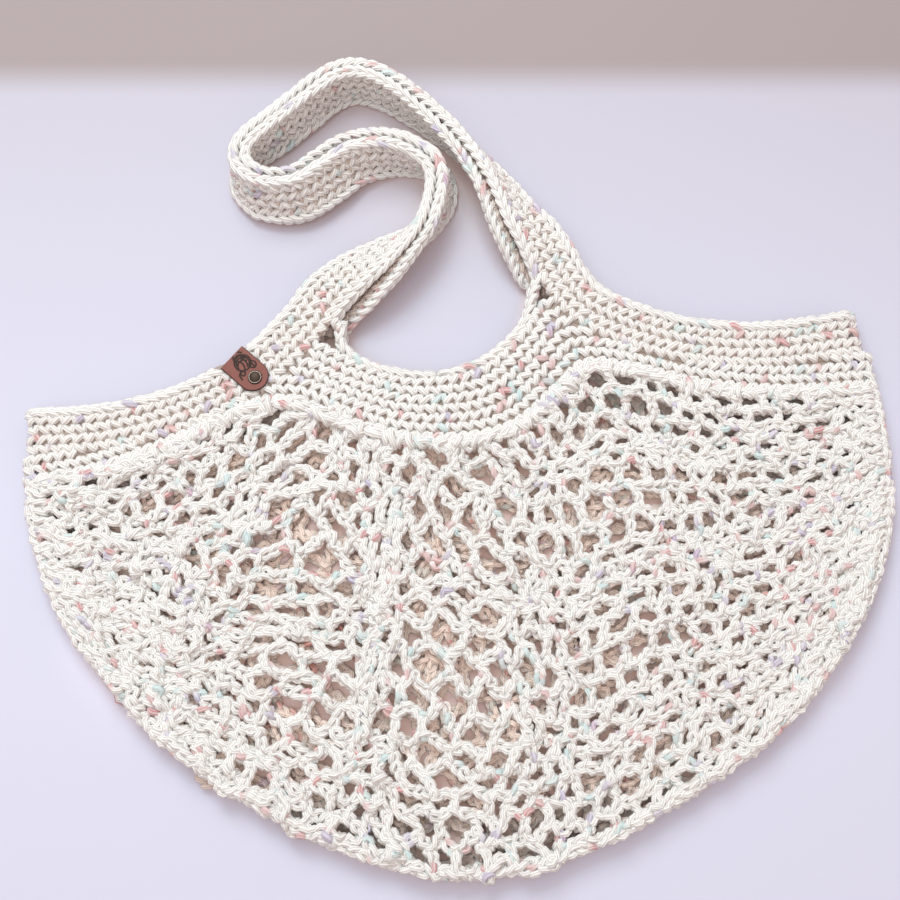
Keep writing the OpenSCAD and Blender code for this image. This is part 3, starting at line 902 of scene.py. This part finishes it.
def build_cores(side, name, strap):
    """Dark sheets of painted shade that close the view through the strap's and the band's stitches.
    """
    shade_lines = [strap.middle + strap.inward * w for w in np.linspace(-11, 11, 7)]
    finish_piece(sheet_mesh(f"{name}_strap_shade_sheet", shade_lines, 2.2), handle=f"{name}_handle")
    level = np.full(len(border), MID_Z + side * (FOLD_R - 0.2))
    u = np.linspace(0, 1, len(border))[:, None]
    reach = 0.80 + 0.18 * blend((u - 0.25) / 0.06) * blend((0.76 - u) / 0.06)
    shade_lines = [np.column_stack([border + (band_top - border) * f * reach, level])[2:-2]
            for f in np.linspace(0, 1, 9)]
    finish_piece(sheet_mesh(f"{name}_band_shade_sheet", shade_lines, 1.2))


def build_layer(side):
    """All the yarn of the front (side 1) or back (side -1) half of the bag."""
    name = "front" if side > 0 else "back"
    rng = np.random.default_rng(40 + side)
    build_net(side, name)
    build_band(side, name, rng)
    strap = build_strap(side, name, rng)
    build_cores(side, name, strap)


def build_net_edge():
    """Three rows of chain, one above another, that join the two layers of the net."""
    rng = np.random.default_rng(5)
    line = (outline + left_of(outline) * 2.6)[LEFT_NET * SPAN - 6:RIGHT_NET * SPAN + 7]
    away = -left_of(line)
    strands = []
    for level in (1, -1, 0):
        facing = unit(np.column_stack([away, np.full(len(away), 0.8 * level)]))
        points = np.column_stack([line, np.full(len(line), MID_Z + level * 3.4)])
        ribbon = Ribbon(points, facing)
        strands.append(chain(ribbon, CHAIN_P * 1.05, rng, roll=0.8, bulk=1.2, mess=0.06))
    yarn_piece("net_edge", strands, NET_R, 51, 6, ["left_fold", "right_fold", "bottom_fold"])


for side in (1, -1):
    build_layer(side)
build_net_edge()

# ---- leather tag and rivet
tag_place = Matrix.Translation((TAG_AT[0] * MM, TAG_AT[1] * MM, 0))
tag_frame = tag_place @ Matrix.Rotation(TAG_TURN, 4, "Z")


def arc_line(cx, cy, r, a, b, steps, squash=1.0):
    """Part of a circle from angle a to b, in degrees, squashed along y."""
    t = np.radians(np.linspace(a, b, steps))
    return np.column_stack([cx + r * np.cos(t), cy + squash * r * np.sin(t)])


def tag_motif():
    """Burnt lines of a ball of yarn with its loose end and a leaf, in the tag's own plane."""
    ball = [arc_line(7.6, 1.6, 4.6, 0, 360, 60)]
    for bend in (-2.6, -0.9, 0.9, 2.6):
        ball.append(arc_line(7.6 + bend, 1.6 - bend * 0.3, 4.3, 118, 242, 20, 0.82))
    for bend in (-1.6, 0.6, 2.4):
        ball.append(arc_line(7.6, 1.6 + bend - 2.2, 4.2, 35, 145, 20, 0.8))
    tail = smooth([
        (9.6, -2.6), (12, -4.0), (13.4, -3.0), (12.2, -1.4), (10.8, -2.4), (11.4, -4.8),
        (14.2, -5.6)])
    leaf = smooth([
        (9.8, 5.0), (11.4, 6.4), (13.4, 6.2), (14.4, 4.4), (13.2, 3.0), (11.4, 2.8), (9.8, 5.0)])
    vein = smooth([(10.2, 4.9), (12.0, 4.7), (14.0, 4.5)])
    return ball + [tail, leaf, vein]


def burnt(points):
    """How burnt the leather is at points of its top face: the motif and the rim."""
    near = np.full(len(points), 9.0)
    for line in tag_motif():
        a, b = line[:-1], line[1:]
        ab = b - a
        start = points[:, None] - a
        t = np.clip(np.sum(start * ab, 2) / np.maximum(np.sum(ab**2, 1), 1e-9), 0, 1)
        near = np.minimum(near, np.linalg.norm(start - t[..., None] * ab, axis=2).min(1))
    r = TAG_W / 2
    beyond = np.maximum(points[:, 0] - (TAG_LEN - r), 0)
    rim = r - np.hypot(beyond, points[:, 1])
    return np.clip(np.maximum(blend((0.70 - near) / 0.4), blend((0.75 - rim) / 0.7)), 0, 1)


def half_width(x):
    """Half of the tag's width at x, which its round end narrows."""
    r = TAG_W / 2
    return np.sqrt(np.maximum(r * r - np.maximum(x - (TAG_LEN - r), 0)**2, 1e-4))


def tag_path():
    """The tag's middle from its end on top, round the fold, to its end below: x, z and normal."""
    top_x = TAG_LEN - (1 - np.cos(np.linspace(0, np.pi / 2, 26))) * TAG_TIP
    top_x = np.concatenate([top_x, np.linspace(TAG_LEN - TAG_TIP, LEATHER_T, 90)[1:]])
    low_z = FRONT_LOW - LEATHER_T / 2
    high_z = FRONT_HIGH + LEATHER_T / 2
    r = LEATHER_T / 2
    path = [(x, high_z, 0.0, 1.0) for x in top_x]
    path += [(LEATHER_T - r * math.sin(t), high_z - r + r * math.cos(t), -math.sin(t), math.cos(t))
             for t in np.linspace(0.2, 1.5, 7)]
    path += [(r, z, -1.0, 0.0) for z in np.linspace(high_z - 1.6, low_z + 1.6, 5)]
    path += [(LEATHER_T - r * math.sin(t), low_z + r - r * math.cos(t), -math.sin(t), -math.cos(t))
             for t in np.linspace(1.5, 0.2, 7)]
    path += [(x, low_z, 0.0, -1.0) for x in np.linspace(LEATHER_T, TAG_LEN - TAG_TIP, 20)]
    path += [(TAG_LEN - (1 - math.cos(t)) * TAG_TIP, low_z, 0.0, -1.0)
             for t in np.linspace(np.pi / 2, 0, 12)[1:]]
    return path


def tag_section():
    """Across the tag: shares of its half width and half thickness, with rounded long edges."""
    left = -np.cos(np.linspace(0, np.pi, 9))[:4] * 0.06 - 0.94
    right = 0.94 + np.cos(np.linspace(np.pi, 0, 9))[5:] * 0.06
    y_share = np.concatenate([left, np.linspace(-0.93, 0.93, 75), right])
    section = [(y, math.sqrt(max(0.0, 1 - max(0.0, (abs(y) - 0.94) / 0.06)**2))) for y in y_share]
    return np.array(section + [(y, -h) for y, h in section[::-8]])


def build_tag():
    """A strip of leather folded over the mouth's edge, burnt along its cut edges, with a motif."""
    section = tag_section()
    verts, burn = [], []
    for x, z, nx, nz in tag_path():
        y = section[:, 0] * half_width(min(x, TAG_LEN))
        h = section[:, 1] * LEATHER_T / 2
        dome = 0.12 * (1 - (y / (TAG_W / 2))**2) if nz > 0 else np.zeros_like(y)
        verts.append(np.column_stack([x + nx * h, y, z + nz * h + dome]))
        rim = (np.abs(y) > TAG_W / 2 - 0.5).astype(float)
        mark = burnt(np.column_stack([np.full(len(y), x), y])) if nz > 0.9 else rim
        # The tag's faces that lie on the yarn are darkened nearly to the burnt colour.
        burn.append(np.where(h > 0, mark, 0.85))
    count, rows = len(section), len(verts)
    verts, burn = np.concatenate(verts), np.concatenate(burn)
    index = np.arange(rows * count).reshape(rows, count)
    right = np.roll(index, -1, axis=1)
    faces = np.stack([index[:-1], index[1:], right[1:], right[:-1]], -1).reshape(-1, 4).tolist()
    faces += [index[0].tolist(), index[-1, ::-1].tolist()]
    tag = plain_mesh("tag", verts, faces, leather)
    tag.data.attributes.new("burn", "FLOAT", "POINT").data.foreach_set("value", burn)
    tag.data.transform(tag_frame)
    finish_piece(tag, ["leather_tag"])


RIVET_SIDES, RIVET_RING = 64, 3.3
# Radius and height of the cap, from its middle over the ring with the painted highlight to its rim.
RIVET_PROFILE = [
    (0.0, 1.55), (1.0, 1.5), (2.0, 1.32), (2.8, 1.05), (3.02, 0.92), (3.12, 1.0), (3.3, 1.14),
    (3.5, 1.02), (3.6, 0.85), (3.85, 0.66), (4.0, 0.35), (4.0, 0.0)]


def build_rivet():
    """The rivet's domed cap with a painted highlight on its ring, and the same metal on its post.
    """
    profile = smooth(RIVET_PROFILE, 4)
    radius, height = profile[:, 0, None], profile[:, 1, None]
    turn = np.linspace(0, 2 * np.pi, RIVET_SIDES + 1)[:-1]
    verts = np.stack([
        radius * np.cos(turn), radius * np.sin(turn), np.repeat(height, RIVET_SIDES, 1)], -1)
    verts = verts.reshape(-1, 3) + [RIVET_REACH, 0, TAG_TOP]
    index = np.arange(len(verts)).reshape(-1, RIVET_SIDES)
    right = np.roll(index, -1, axis=1)
    faces = np.stack([index[:-1], index[1:], right[1:], right[:-1]], -1)[1:].reshape(-1, 4).tolist()
    faces += [index[1].tolist(), index[-1, ::-1].tolist()]
    cap = plain_mesh("rivet", verts, faces, metal)
    # Painted highlight: the ring's colour is lightened.
    ring_highlight = np.repeat(np.clip(1 - np.abs(profile[:, 0] - RIVET_RING) / 0.2, 0, 1), RIVET_SIDES)
    cap.data.attributes.new("ring_highlight", "FLOAT", "POINT").data.foreach_set("value", ring_highlight)
    cap.data.transform(tag_frame)
    finish_piece(cap, ["rivet_cap"])
    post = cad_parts["rivet_post"]
    post.data.materials.clear()
    post.data.materials.append(metal)


build_tag()
build_rivet()

# ---- tabletop, light and camera
bpy.ops.mesh.primitive_plane_add(size=4)
floor = bpy.context.object
floor.name = "tabletop"
floor.data.materials.append(tabletop_material())

world = bpy.data.worlds.new("room")
scene.world = world
world.use_nodes = True
room_light = world.node_tree.nodes["Background"].inputs
room_light["Color"].default_value = (1.0, 0.79, 0.73, 1)
room_light["Strength"].default_value = 0.66


def area_light(name, place, size, power, colour):
    """A square lamp that shines on the middle of the scene."""
    data = bpy.data.lights.new(name, "AREA")
    data.shape, data.size, data.energy, data.color = "SQUARE", size, power, colour
    light = bpy.data.objects.new(name, data)
    light.location = place
    light.rotation_euler = (-Vector(place)).to_track_quat("-Z", "Y").to_euler()
    scene.collection.objects.link(light)


DAYLIGHT = (0.82, 0.97, 1.0)
area_light("window", (-0.30, 0.85, 1.25), 0.75, 16.2, DAYLIGHT)
area_light("sky", (-0.25, -0.1, 1.6), 1.6, 9.3, DAYLIGHT)

# Stands in for the light that soaks through the cotton and warms the inside of the bag.
data = bpy.data.lights.new("through_cotton", "AREA")
data.shape, data.size, data.size_y = "ELLIPSE", 0.43, 0.22
data.energy, data.color = 0.10, (1.0, 0.81, 0.73)
glow = bpy.data.objects.new("through_cotton", data)
glow.location = (0.004, -0.106, (MID_Z + 2) * MM)
glow.visible_camera = False
scene.collection.objects.link(glow)

camera = bpy.data.objects.new("camera", bpy.data.cameras.new("camera"))
camera.data.lens, camera.data.sensor_width = 50, 36
camera.location = (0, -0.1775, 0.682)
view = Vector((0, -0.02, 0)) - camera.location
camera.rotation_euler = view.to_track_quat("-Z", "Y").to_euler()
scene.collection.objects.link(camera)
bpy.context.scene.camera = camera
scene.view_settings.view_transform = "Standard"
scene.view_settings.gamma = 1.12
